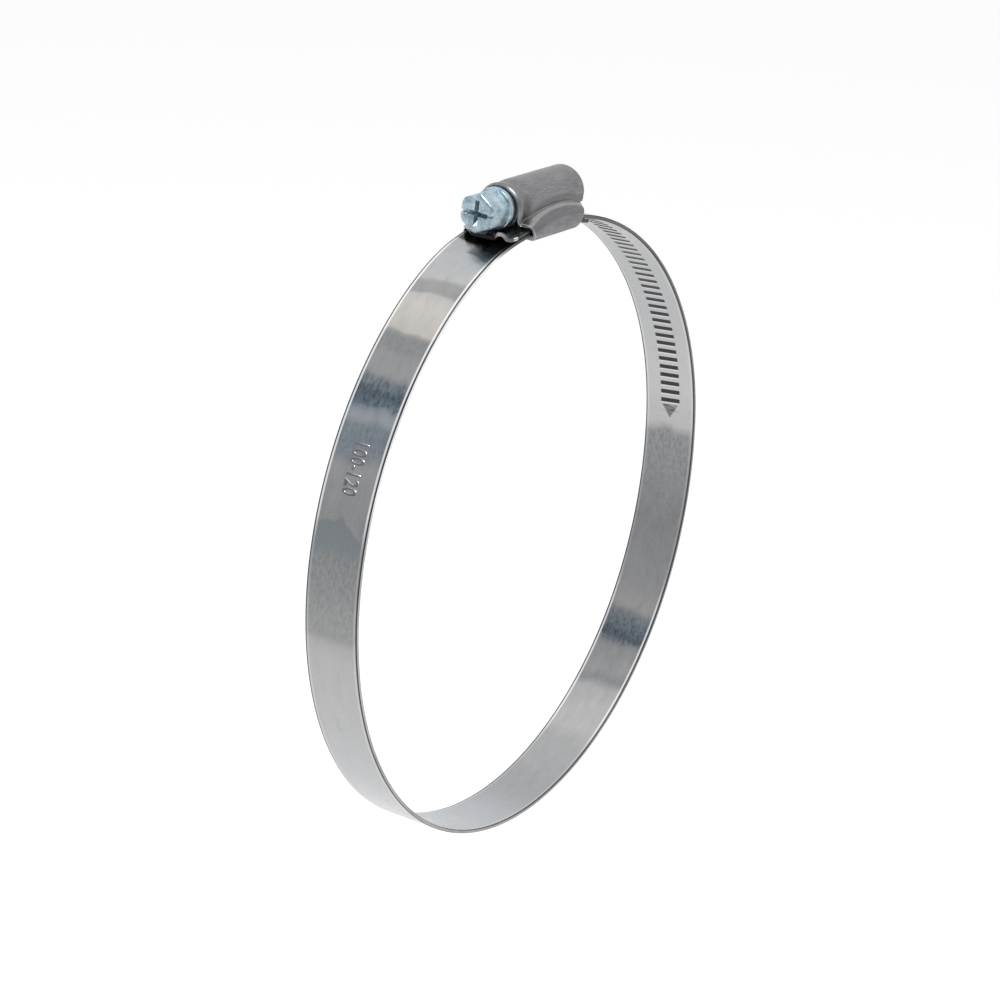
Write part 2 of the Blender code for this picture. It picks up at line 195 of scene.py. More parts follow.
class Surface:
    """A new node material and the nodes that feed its Principled shader."""

    def __init__(self, name):
        self.material = bpy.data.materials.new(name)
        self.material.use_nodes = True
        self.tree = self.material.node_tree
        self.shader = self.tree.nodes["Principled BSDF"]

    def split(self, vector):
        """The three numbers of a vector."""
        made = self.tree.nodes.new("ShaderNodeSeparateXYZ")
        self.tree.links.new(vector, made.inputs[0])
        return [Value(self.tree, socket) for socket in made.outputs]

    def strap_map(self):
        """The strap's own map, in metres: along it from the ring's top, and across it from the middle."""
        return self.tree.nodes.new("ShaderNodeUVMap").outputs["UV"]

    def object_map(self):
        """The place in the object's own axes, in metres."""
        return self.tree.nodes.new("ShaderNodeTexCoord").outputs["Object"]

    def noise(self, vector, sizes, scale, detail=3.0, rough=0.55):
        """Noise on a vector that is first multiplied by sizes."""
        stretch = self.tree.nodes.new("ShaderNodeMapping")
        stretch.inputs["Scale"].default_value = sizes
        self.tree.links.new(vector, stretch.inputs["Vector"])
        made = self.tree.nodes.new("ShaderNodeTexNoise")
        made.inputs["Scale"].default_value = scale
        made.inputs["Detail"].default_value = detail
        made.inputs["Roughness"].default_value = rough
        self.tree.links.new(stretch.outputs["Vector"], made.inputs["Vector"])
        return Value(self.tree, made.outputs["Fac"])

    def vector_maths(self, operation, *inputs):
        """The result of a vector maths node on sockets or plain vectors."""
        made = self.tree.nodes.new("ShaderNodeVectorMath")
        made.operation = operation
        for place, item in zip(made.inputs, inputs):
            if isinstance(item, bpy.types.NodeSocket):
                self.tree.links.new(item, place)
            else:
                place.default_value = item
        return made.outputs["Value" if operation == "DOT_PRODUCT" else "Vector"]

    def facing(self, direction):
        """How far the surface faces a direction: 1 straight at it, -1 straight away."""
        normal = self.tree.nodes.new("ShaderNodeNewGeometry").outputs["Normal"]
        return Value(self.tree, self.vector_maths("DOT_PRODUCT", normal, direction))

    def facing_out(self):
        """How far the surface faces away from the middle of the ring."""
        position = self.tree.nodes.new("ShaderNodeNewGeometry").outputs["Position"]
        away = self.vector_maths("SUBTRACT", position, (ARC_X, 0, ARC_Z))
        flat = self.vector_maths("MULTIPLY", away, (1, 0, 1))
        return self.facing(self.vector_maths("NORMALIZE", flat))

    def flatness(self, radius):
        """1 on flat stretches, less where an edge is within radius."""
        bevel = self.tree.nodes.new("ShaderNodeBevel")
        bevel.inputs["Radius"].default_value = radius
        return self.facing(bevel.outputs["Normal"])

    def brightness(self, colour):
        """How bright a colour is, as a number."""
        made = self.tree.nodes.new("ShaderNodeRGBToBW")
        self.tree.links.new(colour, made.inputs[0])
        return Value(self.tree, made.outputs[0])

    def mix(self, factor, a, b, blend="MIX"):
        """Colour a, and b over it by factor; a colour is a socket or three numbers."""
        made = self.tree.nodes.new("ShaderNodeMix")
        made.data_type = "RGBA"
        made.blend_type = blend
        if isinstance(factor, Value):
            self.tree.links.new(factor.socket, made.inputs[0])
        else:
            made.inputs[0].default_value = factor
        for place, colour in ((made.inputs[6], a), (made.inputs[7], b)):
            if isinstance(colour, bpy.types.NodeSocket):
                self.tree.links.new(colour, place)
            else:
                place.default_value = (*colour, 1.0)
        return made.outputs[2]

    def times(self, a, b):
        """Two colours multiplied."""
        return self.mix(1.0, a, b, "MULTIPLY")

    def finish(self, colour, metallic, rough, height=None, strength=0.0, distance=0.0):
        """Feed the shader; rough is a number or a socket, and height raises a bump."""
        self.tree.links.new(colour, self.shader.inputs["Base Color"])
        self.shader.inputs["Metallic"].default_value = metallic
        if isinstance(rough, bpy.types.NodeSocket):
            self.tree.links.new(rough, self.shader.inputs["Roughness"])
        else:
            self.shader.inputs["Roughness"].default_value = rough
        if height is not None:
            bump = self.tree.nodes.new("ShaderNodeBump")
            bump.inputs["Strength"].default_value = strength
            bump.inputs["Distance"].default_value = distance
            self.tree.links.new(height.socket, bump.inputs["Height"])
            self.tree.links.new(bump.outputs["Normal"], self.shader.inputs["Normal"])
        return self.material


def grey(level, blue=0.0):
    """A steel tone: a level with a share of blue, or of warmth if negative."""
    return (level * (1 - blue), level, level * (1 + blue))


def ramp(value, stops):
    """The colour that a value has between stops of (position, colour)."""
    made = value.tree.nodes.new("ShaderNodeValToRGB")
    made.color_ramp.interpolation = "EASE"
    elements = made.color_ramp.elements
    while len(elements) > 1:
        elements.remove(elements[-1])
    for i, (place, colour) in enumerate(stops):
        item = elements[0] if i == 0 else elements.new(place)
        item.position = place
        item.color = (*colour, 1.0)
    value.tree.links.new(value.socket, made.inputs["Fac"])
    return made.outputs["Color"]


def ring_place(degrees):
    """Metres along the strap at an angle round the ring."""
    return math.radians(degrees) * ARC_R


def ring_tones(along, rows):
    """A steel tone that changes along the strap: rows are (degrees round the ring, level, blue)."""
    first, last = rows[0][0], rows[-1][0]
    stops = [((degrees - first) / (last - first), grey(level, blue)) for degrees, level, blue in rows]
    low = ring_place(first)
    return ramp((along - low) / (ring_place(last) - low), stops)


# ---------------------------------------------------------------- strap materials
def strap_place(surface):
    """Where a point lies on the strap, by the strap's map."""
    uv = surface.strap_map()
    along, across, _ = surface.split(uv)
    return SimpleNamespace(uv=uv, along=along, across=across)


def thread_shade_and_highlight(surface, colour, strip):
    """Painted shade on the inner face's grooves, a painted highlight on each rim, and a last grainy shaded
    mark.

    The painted shade is thicker towards the housing, and the last mark narrows to a V.
    """
    pitch = GROOVE * ARC_R
    side = abs(strip.across)
    turns = (strip.along - strip.across * LEAD) / pitch
    off = (turns - turns.rounded()) * pitch
    half_thick = (1.0 - turns.step(6, 24)) * (0.34 * MM) + 0.2 * MM
    past_side = (abs(off) - half_thick).at_least(0)
    past_end = (side - 2.05 * MM).at_least(0)
    past = (past_side * past_side + past_end * past_end).root()
    field = turns.band(FIRST_GROOVE - 0.4, LAST_GROOVE - 0.6, 0.1)
    # Painted shade in the back of each groove.
    back = (1.0 - past.step(0.16 * MM, 0.34 * MM)) * field
    # A painted highlight on each groove's rim.
    rim_highlight = off.band(0.5 * MM, 0.62 * MM, 0.14 * MM) * (1.0 - side.step(2.0 * MM, 2.5 * MM)) * field
    taper = 2.2 * MM - (turns - (LAST_GROOVE - 0.5)) * (1.3 * MM)
    inside = 1.0 - (side - taper).step(-0.5 * MM, 0)
    grain = surface.noise(strip.uv, (2600, 500, 1), 1.0, 2.0)
    # The last mark is grainy painted shade.
    last = inside * turns.band(LAST_GROOVE - 0.45, LAST_GROOVE + 0.9, 0.12) * (grain * 1.35)
    colour = surface.mix(rim_highlight * 0.4, colour, (0.85, 0.85, 0.86))
    return surface.mix(back.at_least(last) * 0.95, colour, (0.022, 0.022, 0.024))


def grey_patch(surface, colour, strip):
    """A blue-grey reflection on the outer face, with a peaked top."""
    foot, peak = ring_place(280.3), ring_place(286.3)
    near, far = (strip.across * -1.0).at_least(0), strip.across.at_least(0)
    fall = near * 0.8 + far * 0.4
    below_top = (peak - strip.wandering - fall).step(-0.3 * MM, 0.3 * MM)
    above_foot = (strip.wandering - foot).step(-1.2 * MM, 1.2 * MM)
    return surface.mix(below_top * above_foot * 0.8, colour, (0.205, 0.235, 0.25))


def head_shadow(surface, colour, strip):
    """The screw head's dark reflection on the outer face, and a half dark patch before it."""
    near, far = ring_place(340.5), ring_place(345.5)
    slant = (strip.across + WIDTH / 2) * ((far - near) / WIDTH)
    depth = strip.wandering - near - slant
    colour = surface.mix(depth.step(-0.4 * MM, 0.6 * MM), colour, (0.035, 0.036, 0.038))
    half_dark = depth.step(-4.5 * MM, -3.6 * MM) * strip.across.step(1.2 * MM, -0.4 * MM)
    return surface.mix(half_dark * 0.72, colour, (0.07, 0.08, 0.078))


def border_lines(surface, colour, strip):
    """A painted dark line of shade on each long border, and beside it a painted highlight, bright on two
    stretches of the ring.
    """
    side = abs(strip.across)
    border = WIDTH / 2
    glint = Value(surface.tree, ring_tones(strip.along, [
        (0, 0.12, 0), (113.4, 0.15, 0), (122.4, 0.85, 0), (144, 0.8, 0), (158.4, 0.15, 0),
        (280.8, 0.15, 0), (288, 0.85, 0), (338.4, 0.85, 0), (347.4, 0.2, 0)]))
    # A painted highlight beside each border.
    border_highlight = side.band(border - 0.75 * MM, border - 0.42 * MM, 0.07 * MM)
    # Painted shade on each border.
    border_shade = side.step(border - 0.36 * MM, border - 0.26 * MM)
    colour = surface.mix(border_highlight * glint, colour, (0.95, 0.95, 0.96))
    return surface.mix(border_shade * 0.85, colour, (0.05, 0.05, 0.055))


def strap_steel(name, rows, marks):
    """Smooth rolled stainless strap.  Its tone runs along the strip as painted broad soft reflections."""
    surface = Surface(name)
    strip = strap_place(surface)
    wander = surface.noise(strip.uv, (60, 90, 1), 1.6, 2.0)
    strip.wandering = strip.along + (wander - 0.5) * (3.5 * MM)
    # The tone along the strip is painted reflection.
    tone = ring_tones(strip.wandering, rows)
    streak = surface.noise(strip.uv, (90, 2400, 1), 3.0, 4.0)
    cloud = surface.noise(strip.uv, (120, 260, 1), 1.8, 6.0, 0.62)
    detail = streak * 0.3 + cloud * 0.7
    colour = surface.times(tone, ramp(detail, [(0.3, grey(0.88)), (0.5, grey(1)), (0.7, grey(1.07))]))
    speck = surface.noise(strip.uv, (900, 1500, 1), 1.0, 6.0, 0.7)
    stain = ramp(speck, [(0.36, (0.5, 0.56, 0.62)), (0.5, (0.95, 0.98, 1.0)), (0.62, grey(1.3))])
    # Stains show only where the painted reflection is dark.
    in_the_dark = 1.0 - surface.brightness(tone).step(0.17, 0.33)
    colour = surface.mix(in_the_dark, colour, surface.times(colour, stain))
    for mark in (*marks, border_lines):
        colour = mark(surface, colour, strip)
    rough = ramp(cloud, [(0.3, grey(0.2)), (0.7, grey(0.32))])
    return surface.finish(colour, 1.0, rough, detail, 0.12, 0.02 * MM)


def edge_steel():
    """Painted shade where the cut edges round into the faces; the flank between is a painted reflection,
    bright before the head.

    The tail's end is painted light, with a black stretch of painted shade in its middle.
    """
    surface = Surface("strap_edge")
    strip = strap_place(surface)
    cut = surface.noise(strip.uv, (60, 40, 1), 2.0, 3.0)
    # The flank's tone is a painted reflection along the ring.
    flank_reflection = ring_tones(strip.along, [
        (0, 0.11, 0), (39.6, 0.14, 0), (72, 0.24, 0), (129.6, 0.28, 0), (198, 0.30, 0), (216, 0.34, 0),
        (282.6, 0.40, 0), (291.6, 0.85, 0), (338.4, 0.8, 0), (347.4, 0.1, 0), (360, 0.08, 0)])
    flank_reflection = surface.times(flank_reflection, ramp(cut, [(0.3, grey(0.8)), (0.5, grey(1)), (0.7, grey(1.15))]))
    # Painted shade where the edge rounds into a face.
    rounding = abs(surface.facing_out()).step(0.2, 0.55)
    colour = surface.mix(rounding, flank_reflection, grey(0.045))
    # The tail's end is painted light.
    at_tail = strip.along.below(TAIL_BEND)
    colour = surface.mix(at_tail, colour, surface.mix(rounding, grey(0.42), grey(0.9)))
    # A black stretch of painted shade in the middle of the tail's end.
    middle = 1.0 - abs(strip.across).step(2.6 * MM, 3.6 * MM)
    colour = surface.mix(middle * at_tail, colour, grey(0.02))
    return surface.finish(colour, 1.0, 0.34, cut, 0.15, 0.02 * MM)


def stamped_steel():
    """Raised figures: as the strap, with painted light by facing: one flank painted light and the other
    painted dark.
    """
    surface = Surface("stamped_figures")
    # Painted light and shade by which way each flank faces.
    tone = ramp(surface.facing((0.0, -0.65, 0.76)), [(0.0, grey(0.03)), (0.4, grey(0.24)), (0.72, grey(1))])
    return surface.finish(tone, 1.0, 0.3)


def groove_steel():
    """The pressed grooves' floors, dull, and dark with painted shade."""
    surface = Surface("pressed_groove")
    cloud = surface.noise(surface.strap_map(), (700, 700, 1), 1.5, 3.0)
    # Painted shade in the groove floors.
    tone = ramp(cloud, [(0.3, (0.030, 0.029, 0.027)), (0.7, (0.095, 0.092, 0.086))])
    return surface.finish(tone, 0.7, 0.5, cloud, 0.3, 0.04 * MM)


# ---------------------------------------------------------------- housing and screw materials
def sheet_steel():
    """Satin pressed sheet: fine grain along the tube, soft stains, and painted light on its edges and crease.
    """
    surface = Surface("housing_satin")
    place = surface.object_map()
    x, _, z = surface.split(place)
    grain = surface.noise(place, (260, 3000, 3000), 2.0, 4.0)
    blot = surface.noise(place, (110, 190, 190), 1.5, 6.0, 0.66)
    mixed = grain * 0.6 + blot * 0.4
    tone = ramp(mixed, [
        (0.34, (0.15, 0.148, 0.155)), (0.5, (0.215, 0.213, 0.222)), (0.66, (0.30, 0.298, 0.306))])
    from_bow = x - CREASE_X * MM
    over = z - (TOP + CREASE_UP * MM) + from_bow * from_bow * (CREASE_BOW / MM)
    # Painted shade above and below the crease, and a painted highlight on its ridge.
    tone = surface.mix(over.band(0.1 * MM, 1.3 * MM, 0.5 * MM) * 0.4, tone, grey(0.10))
    tone = surface.mix(over.band(-1.9 * MM, -0.9 * MM, 0.4 * MM) * 0.4, tone, grey(0.10))
    tone = surface.mix(over.band(-0.5 * MM, -0.25 * MM, 0.24 * MM) * 0.34, tone, grey(0.5))
    # Painted shade in the valley behind the front lip.
    low = (1.0 - z.step(TOP + 3.0 * MM, TOP + 6.2 * MM)) * over.step(-0.4 * MM, 0.3 * MM)
    behind_lip_shade = x.band(-8.3 * MM, -7.3 * MM, 1.3 * MM) * low
    tone = surface.mix(behind_lip_shade * 0.6, tone, grey(0.06))
    # Painted shade on the rear rim.
    rear_rim_shade = x.step(10.72 * MM, 10.8 * MM)
    tone = surface.mix(rear_rim_shade * 0.75, tone, grey(0.05))
    # Painted highlights on the rounded edges.
    edge_highlight = Value(surface.tree, ramp(surface.flatness(0.25 * MM), [(0.80, grey(1)), (0.985, grey(0))]))
    rough = ramp(blot, [(0.3, grey(0.34)), (0.7, grey(0.46))])
    return surface.finish(surface.mix(edge_highlight, tone, grey(0.75)), 1.0, rough, mixed, 0.25, 0.05 * MM)


def zinc():
    """Bright bluish zinc plating, mottled, with light edges: scuffs and painted highlights."""
    surface = Surface("zinc_plating")
    place = surface.object_map()
    blot = surface.noise(place, (420, 420, 420), 1.4, 5.0, 0.65)
    fine = surface.noise(place, (2400, 2400, 2400), 1.2, 3.0)
    mixed = fine * 0.35 + blot * 0.65
    tone = ramp(mixed, [(0.34, (0.16, 0.235, 0.29)), (0.5, (0.36, 0.46, 0.52)), (0.66, (0.62, 0.70, 0.74))])
    # Lighter edges: scuffs and painted highlights.
    scuffs_and_highlight = Value(surface.tree, ramp(surface.flatness(0.22 * MM), [(0.82, grey(0.8)), (0.985, grey(0))]))
    rough = ramp(blot, [(0.3, grey(0.30)), (0.7, grey(0.44))])
    return surface.finish(surface.mix(scuffs_and_highlight, tone, (0.80, 0.87, 0.90)), 0.9, rough, mixed, 0.35, 0.06 * MM)


def floor_white():
    """A matt white that glows a little, with a barely visible mottling."""
    surface = Surface("floor_white")
    blot = surface.noise(surface.object_map(), (1, 1, 1), 90.0, 2.0)
    tone = ramp(blot, [(0.3, grey(0.97 * 0.995)), (0.7, grey(0.97))])
    surface.shader.inputs["Emission Color"].default_value = (1, 1, 1, 1)
    surface.shader.inputs["Emission Strength"].default_value = 0.16
    return surface.finish(tone, 0.0, 0.9)


# ---------------------------------------------------------------- mesh tools
def ease(value):
    """A smooth 0 to 1, held at 0 below and at 1 above."""
    value = max(0.0, min(1.0, value))
    return value * value * (3 - 2 * value)


def parts(start, end, count):
    """The ends of count equal parts from start to end."""
    return [start + (end - start) * i / count for i in range(count + 1)]


def spread(start, end):
    """Angles from start to end, about 0.6 degrees apart."""
    return parts(start, end, max(2, round(abs(end - start) / math.radians(0.6))))


def link(item):
    """The object, now in the scene and with its place up to date."""
    bpy.context.scene.collection.objects.link(item)
    bpy.context.view_layer.update()
    return item


def new_object(name, data=None):
    """A new object in the scene, of the data or of an empty mesh."""
    return link(bpy.data.objects.new(name, data or bpy.data.meshes.new(name)))


@contextmanager
def edited(mesh):
    """The mesh opened for editing, and written back afterwards."""
    work = bmesh.new()
    work.from_mesh(mesh)
    yield work
    work.to_mesh(mesh)
    work.free()


def applied(item):
    """The object with its modifiers and its placement applied."""
    bpy.context.view_layer.update()
    graph = bpy.context.evaluated_depsgraph_get()
    mesh = bpy.data.meshes.new_from_object(item.evaluated_get(graph))
    mesh.transform(item.matrix_world)
    name = item.name
    bpy.data.objects.remove(item, do_unlink=True)
    return new_object(name, mesh)


def boolean(base, tools, operation):
    """The base cut by, or kept within, each tool in turn; the tools are used up."""
    for tool in tools:
        cut = base.modifiers.new("cut", "BOOLEAN")
        cut.operation = operation
        cut.solver = "EXACT"
        cut.object = tool
        base = applied(base)
        bpy.data.objects.remove(tool, do_unlink=True)
    return base


def rounded(item, width, segments=3, angle=35):
    """The object with its edges sharper than angle, in degrees, rounded over width."""
    edge = item.modifiers.new("edge", "BEVEL")
    edge.width = width
    edge.segments = segments
    edge.limit_method = "ANGLE"
    edge.angle_limit = math.radians(angle)
    edge.harden_normals = False
    return applied(item)


def smooth(item, angle=35):
    """The object shaded smooth, except across edges sharper than angle, in degrees."""
    item.data.shade_smooth()
    item.data.set_sharp_from_angle(angle=math.radians(angle))
    return item


def turned(name, profile, steps=128):
    """A body turned about the screw's axis from profile (x, radius) in millimetres."""
    item = new_object(name)
    points = [Vector((x * MM, 0, -radius * MM)) for x, radius in profile]
    item.data.from_pydata(points, [(i, i + 1) for i in range(len(points) - 1)], [])
    item.location = (0, 0, AXIS_Z)
    spin = item.modifiers.new("turn", "SCREW")
    spin.axis = "X"
    spin.steps = steps
    spin.render_steps = steps
    spin.use_merge_vertices = True
    spin.merge_threshold = 1e-6
    item = applied(item)
    with edited(item.data) as work:
        bmesh.ops.remove_doubles(work, verts=work.verts, dist=1e-7)
        bmesh.ops.recalc_face_normals(work, faces=work.faces)
    return item


def block(name, size):
    """A box about the origin; size is in millimetres."""
    item = new_object(name)
    with edited(item.data) as work:
        bmesh.ops.create_cube(work, size=1)
        bmesh.ops.scale(work, vec=Vector(size) * MM, verts=work.verts)
    return item


# ---------------------------------------------------------------- strap path
def outward(angle):
    """The direction away from the ring at an angle round it."""
    return Vector((math.sin(angle), 0, math.cos(angle)))


def arc_point(angle, radius=ARC_R):
    """A point on a circle about the slotted end's centre."""
    return Vector((ARC_X, 0, ARC_Z)) + outward(angle) * radius


def loop_point(angle):
    """Mid line of the flexible part, from its support function and that function's rate of change."""
    span = WHOLE + FIXED_END - ARC_END
    u = (angle - ARC_END) / span
    x, z = math.sin(angle), math.cos(angle)
    layer = THICK + LAYER_GAP
    fall = u**3 * (10 - 15 * u + 6 * u * u)
    fall_rate = 30 * (u * (1 - u)) ** 2 / span
    window = (u * (1 - u)) ** 2
    window_rate = 2 * u * (1 - u) * (1 - 2 * u) / span
    bulge = sum(c * u**k for k, c in enumerate(BULGE))
    bulge_rate = sum(k * c * u ** (k - 1) for k, c in enumerate(BULGE) if k) / span
    reach = ARC_R + ARC_X * x + ARC_Z * z - layer * fall + window * bulge
    shift = ARC_X * z - ARC_Z * x - layer * fall_rate + window_rate * bulge + window * bulge_rate
    return Vector((reach * x + shift * z, 0, reach * z - shift * x))


def mid_line(angle):
    """A point of the strap's mid line: of the fixed end past its hinge, else of the flexible part."""
    if angle > WHOLE + FIXED_END:
        return arc_point(angle, ARC_R - THICK - LAYER_GAP)
    return loop_point(angle)


def tail_line(s):
    """Mid point and outward normal of the slotted end at arc length s: an arc, or the lifted tail."""
    if s >= TAIL_BEND:
        return arc_point(s / ARC_R), outward(s / ARC_R)
    past = TAIL_BEND - s
    slope = TAIL_BEND / ARC_R + TAIL_LIFT * min(1.0, past / TAIL_BEND_LONG)
    along = Vector((-math.cos(slope), 0, math.sin(slope)))
    return arc_point(TAIL_BEND / ARC_R) + along * past, outward(slope)


# ---------------------------------------------------------------- strap pieces
OUTSIDE, INSIDE, CUT, GROOVED = range(4)


def quads(rows, count):
    """The faces of a tube of rows of count points: (row, column, next column, the face's points)."""
    for i in range(rows - 1):
        for j in range(count):
            k = (j + 1) % count
            yield i, j, k, (i * count + j, i * count + k, (i + 1) * count + k, (i + 1) * count + j)


def strap_piece(name, points, faces, looks, curved):
    """A strap object: points are (place, exact normal, map), and the faces marked curved use the normals."""
    places, exact, maps = zip(*points)
    mesh = bpy.data.meshes.new(name)
    mesh.from_pydata(places, [], faces)
    for material in (OUTER, INNER, EDGE, PRESSED):
        mesh.materials.append(material)
    for polygon, look in zip(mesh.polygons, looks):
        polygon.material_index = look
    layer = mesh.uv_layers.new(name="UVMap")
    for loop in mesh.loops:
        layer.data[loop.index].uv = maps[loop.vertex_index]
    item = new_object(name, mesh)
    inside_out = mesh.polygons[0].normal.dot(exact[0]) < 0
    if inside_out:
        mesh.flip_normals()
        mesh.update()
    mesh.shade_smooth()
    normals = []
    for polygon in mesh.polygons:
        for loop in polygon.loop_indices:
            vertex = mesh.loops[loop].vertex_index
            normals.append(exact[vertex] if curved[polygon.index] else polygon.normal)
    mesh.normals_split_custom_set(normals)
    return item


def section(half_width, half_thick):
    """A plain strap's section: (y, n, normal y, normal n), all round."""
    steps = 3
    out = []
    for side, face, start in ((1, 1, 0), (-1, 1, 90), (-1, -1, 180), (1, -1, 270)):
        for i in range(steps + 1):
            angle = math.radians(start + 90 * i / steps)
            y = side * (half_width - CORNER) + CORNER * math.cos(angle)
            n = face * (half_thick - CORNER) + CORNER * math.sin(angle)
            out.append((y, n, math.cos(angle), math.sin(angle)))
    return out


def strip(name, angles, half_width=WIDTH / 2, half_thick=THICK / 2, ends=()):
    """A length of plain strap along mid_line; ends lists its cut ends, 0 the first and 1 the last."""
    ring = section(half_width, half_thick)
    count = len(ring)
    points = []
    for angle in angles:
        centre, normal = mid_line(angle), outward(angle)
        for y, n, normal_y, normal_n in ring:
            place = centre + normal * n + Vector((0, y, 0))
            points.append((place, normal * normal_n + Vector((0, normal_y, 0)), (angle * ARC_R, y)))
    faces, looks = [], []
    for _, j, k, face in quads(len(angles), count):
        faces.append(face)
        is_face = abs(ring[j][0] - ring[k][0]) > MM
        is_outside = ring[j][3] + ring[k][3] > 0
        looks.append((OUTSIDE if is_outside else INSIDE) if is_face else CUT)
    curved = [True] * len(faces) + [False] * len(ends)
    last = len(points) - count
    caps = (tuple(range(count)), tuple(last + j for j in reversed(range(count))))
    faces += [caps[end] for end in ends]
    looks += [CUT] * len(ends)
    return strap_piece(name, points, faces, looks, curved)


def slotted_rows():
    """Rows along the slotted end: (arc length, groove or None, millimetres from the groove's middle)."""
    rows = []
    s = TAIL_END
    plain_until = FIRST_GROOVE * GROOVE * ARC_R - 0.9 * MM
    while s < plain_until:
        rows.append((s, None, 0))
        s += 0.25 * MM
    between_grooves = PITCH / 2 / MM
    for groove in range(FIRST_GROOVE, LAST_GROOVE + 1):
        for off in (-0.62, -0.5, -GROOVE_FLOOR, 0.0, GROOVE_FLOOR, 0.5, 0.62, between_grooves):
            if groove < LAST_GROOVE or off < between_grooves:
                rows.append((groove * GROOVE * ARC_R + off * MM, groove, off))
    rows.append((SLOT_JOIN * ARC_R, None, 0))
    return rows


def slotted_section():
    """The slotted end's section: (y, n, normal y, normal n, face), where face is 1 outside and -1 inside."""
    near = [y * MM for y in (5.86, 5.2, 4.3, 3.4, 2.95, 2.62, 2.48, 2.3, 1.2)]
    columns = near + [0.0] + [-y for y in reversed(near)]
    steps = 6
    flanks = {}
    for side, start in ((-1, 90), (1, 270)):
        flanks[side] = []
        for i in range(1, steps):
            angle = math.radians(start + 180 * i / steps)
            face = side * ((i > steps / 2) - (i < steps / 2))
            y = side * (WIDTH / 2 - CORNER) + CORNER * math.cos(angle)
            n = face * (THICK / 2 - CORNER) + CORNER * math.sin(angle)
            flanks[side].append((y, n, math.cos(angle), math.sin(angle), 0))
    outer = [(y, THICK / 2, 0.0, 1.0, 1) for y in columns]
    inner = [(y, -THICK / 2, 0.0, -1.0, -1) for y in reversed(columns)]
    return outer + flanks[-1] + inner + flanks[1]


def corner_cut(s, y):
    """How far a point moves back from the tail's end for its rounded corners, less along the strap."""
    radius = FAR_CORNER if y > 0 else NEAR_CORNER
    inset = max(0.0, abs(y) - (WIDTH / 2 - radius)) / radius
    cut_back = radius * (1 - math.sqrt(1 - min(1.0, inset) ** 2))
    return cut_back * max(0.0, 1 - (s - TAIL_END) / (2.6 * radius))


def groove_depth(groove, off, y, face):
    """How deep a groove is at a point of the strap's outside or inside; the last one is faint."""
    if groove is None or not face or abs(off) > GROOVE_FLOOR or abs(y) > GROOVE_HALF:
        return 0.0
    depth = (0.45 if face > 0 else 0.1) * MM
    return depth * (0.35 if groove == LAST_GROOVE else 1.0)


def ear_height(at, y):
    """How high the tail's ears stand at a point: one on each side, between 2.4 and 5.6 mm from the middle."""
    side = abs(y) / MM
    near_end = max(0.0, 1 - abs(at - TAIL_END) / EAR_LONG)
    across = ease((5.6 - side) / 1.5) * ease((side - 2.4) / 1.3)
    return EAR_HIGH * ease(near_end) * across


def slotted_end(name):
    """The strap's slotted end with its pressed grooves, its field ending in a faint last mark."""
    rows = slotted_rows()
    ring = slotted_section()
    points, shaped = [], []
    for s, groove, off in rows:
        for y, n, normal_y, normal_n, face in ring:
            lean = 0.0 if groove is None else LEAD * max(-LEAN_HALF, min(LEAN_HALF, y))
            at = s + lean + corner_cut(s, y)
            centre, normal = tail_line(at)
            depth = groove_depth(groove, off, y, face)
            ear = ear_height(at, y)
            place = centre + normal * (n - face * depth + ear) + Vector((0, y, 0))
            points.append((place, normal * normal_n + Vector((0, normal_y, 0)), (at, y)))
            shaped.append(depth > 0 or ear > 0)
    faces, looks, curved = [], [], []
    for i, j, k, corners in quads(len(rows), len(ring)):
        faces.append(corners)
        face = ring[j][4] if ring[j][4] == ring[k][4] else 0
        is_shaped = any(shaped[v] for v in corners)
        if is_shaped and face > 0 and rows[i][1] is not None:
            looks.append(GROOVED)
        else:
            looks.append({1: OUTSIDE, -1: INSIDE, 0: CUT}[face])
        curved.append(not is_shaped)
    faces.append(tuple(range(len(ring))))
    looks.append(CUT)
    curved.append(False)
    return strap_piece(name, points, faces, looks, curved)


def marking(text, centre, height, condense):
    """Size numbers raised slightly on the strap's outer face, condensed along it and bent to it."""
    curve = bpy.data.curves.new("size_numbers", "FONT")
    curve.body = text
    curve.size = height
    curve.extrude = 0.03 * MM
    curve.bevel_depth = 0.07 * MM
    curve.bevel_resolution = 1
    curve.resolution_u = 3
    curve.align_x = "CENTER"
    curve.align_y = "CENTER"
    item = applied(new_object("size_numbers", curve))
    with edited(item.data) as work:
        bmesh.ops.triangulate(work, faces=work.faces)
        for vertex in work.verts:
            along, across, up = vertex.co
            angle = centre - along * condense / ARC_R
            place = mid_line(angle) + outward(angle) * (THICK / 2 + up)
            vertex.co = place - Vector((0, across, 0))
        bmesh.ops.recalc_face_normals(work, faces=work.faces)
    item.data.materials.append(stamped_steel())
    return item


def flexible_side(base, base_end, first_hinge, first_link):
    """One side of the flexible strap, in pieces from its base to the open pivot; the last piece is attached
    to the last link.
    """
    hinges = parts(first_hinge, OPEN_PIVOT, LINKS)
    before, start = base, base_end
    for i in range(LINKS):
        number = first_link + i
        body = "strap_link_%02d" % number
        hinge = hinges[i]
        middle = (hinge + hinges[i + 1]) / 2
        reach = min(abs(hinge - start), abs(middle - hinge)) * (1 if middle > start else -1)
        beyond = SLOTTED_REACH if base == "slotted_end" and i == 0 else reach
        piece = strip("strap_bend_%02d" % number, spread(start, middle))
        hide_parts(body)
        mid_line(hinge - reach)
        mid_line(hinge + beyond)
        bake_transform(piece)
        if body == NUMBERED_LINK:
            numbers = marking("100-120", math.radians(293.6), 4.5 * MM, condense=0.57)
            mid_line(hinge - reach)
            mid_line(hinge + reach)
            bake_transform(numbers)
        before, start = body, middle
    piece = strip("strap_half_%02d" % number, spread(start, OPEN_PIVOT))
    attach(piece, before)


